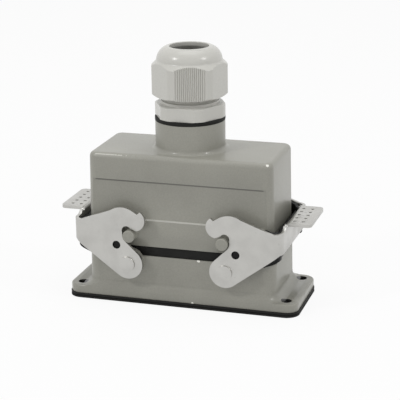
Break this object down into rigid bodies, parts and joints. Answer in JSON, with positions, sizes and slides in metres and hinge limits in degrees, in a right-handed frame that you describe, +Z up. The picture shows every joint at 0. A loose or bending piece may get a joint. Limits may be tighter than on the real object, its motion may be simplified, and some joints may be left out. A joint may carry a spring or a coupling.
{
  "type": "heavy duty rectangular connector",
  "caption": "Rectangular heavy duty connector: grey cast hood locked onto a flanged bulkhead housing by bent steel levers, with a cable gland on top.",
  "frame": {"origin": "middle of the gasket's underside, which is the face of the panel it stands on", "axes": "+X along the length of the housing, -Y the front long side, +Z up through the cable gland"},
  "size_m": [0.1254, 0.0566, 0.124],
  "materials": {
    "grey_paint": "fine satin powder coat on die-cast aluminium",
    "black_rubber": "matt",
    "lever_steel": "satin, zinc plated",
    "black_plastic": "matt",
    "gland_plastic": "light grey moulded polyamide, satin",
    "insert_plastic": "moulded polycarbonate",
    "contact_metal": "silver plate on brass",
    "screw_steel": "zinc plated"
  },
  "bodies": {
    "housing": {"bulkhead_housing": "grey_paint", "hood": "grey_paint", "flange_gasket": "black_rubber", "rim_seal": "black_rubber", "gland_washer": "black_rubber", "gland_body": "gland_plastic", "gland_seal_bush": "black_rubber", "male_insert": "insert_plastic", "male_contacts": "contact_metal", "male_terminal_screws": "screw_steel", "male_earth_plates": "contact_metal", "male_earth_screws": "screw_steel", "male_fixing_screws": "screw_steel", "female_insert": "insert_plastic", "female_contacts": "contact_metal", "female_terminal_screws": "screw_steel", "female_earth_plates": "contact_metal", "female_earth_screws": "screw_steel", "female_fixing_screws": "screw_steel"},
    "left_lever": {"lever_left": "lever_steel", "lever_left_insert": "black_plastic"},
    "right_lever": {"lever_right": "lever_steel", "lever_right_insert": "black_plastic"},
    "cap_nut": {"gland_cap_nut": "gland_plastic"}
  },
  "joints": [
    {"name": "left_lever_swing", "type": "hinge", "parent": "housing", "child": "left_lever", "pos_m": [-0.0242, 0, 0.0218], "axis": [0, -1, 0], "range_deg": [0, 40]},
    {"name": "right_lever_swing", "type": "hinge", "parent": "housing", "child": "right_lever", "pos_m": [0.0242, 0, 0.0218], "axis": [0, 1, 0], "range_deg": [0, 40]},
    {"name": "cap_nut_turn", "type": "hinge", "parent": "housing", "child": "cap_nut", "pos_m": [0, 0, 0.11], "axis": [0, 0, 1], "continuous": true}
  ]
}
